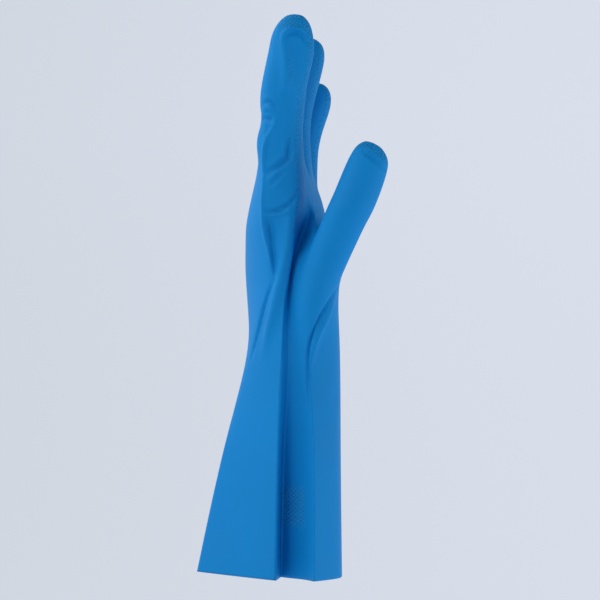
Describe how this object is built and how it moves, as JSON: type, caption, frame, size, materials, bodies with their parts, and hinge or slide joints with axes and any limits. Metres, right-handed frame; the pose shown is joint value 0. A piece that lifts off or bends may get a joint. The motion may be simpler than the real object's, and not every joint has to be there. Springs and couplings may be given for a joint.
{
  "type": "chemical resistant glove",
  "caption": "Long rubber gauntlet glove for a left hand, with a wide folded cuff cut straight at the hem, hollow from the arm opening to the closed fingertips",
  "frame": {"origin": "middle of the arm opening, on the plane of the hem", "axes": "+Z from the hem to the fingertips, +X to the palm side, -Y to the thumb side"},
  "size_m": [0.1134, 0.1014, 0.3312],
  "materials": {
    "nitrile_blue": "satin"
  },
  "bodies": {
    "root": {"glove_shell": "nitrile_blue"}
  },
  "joints": []
}
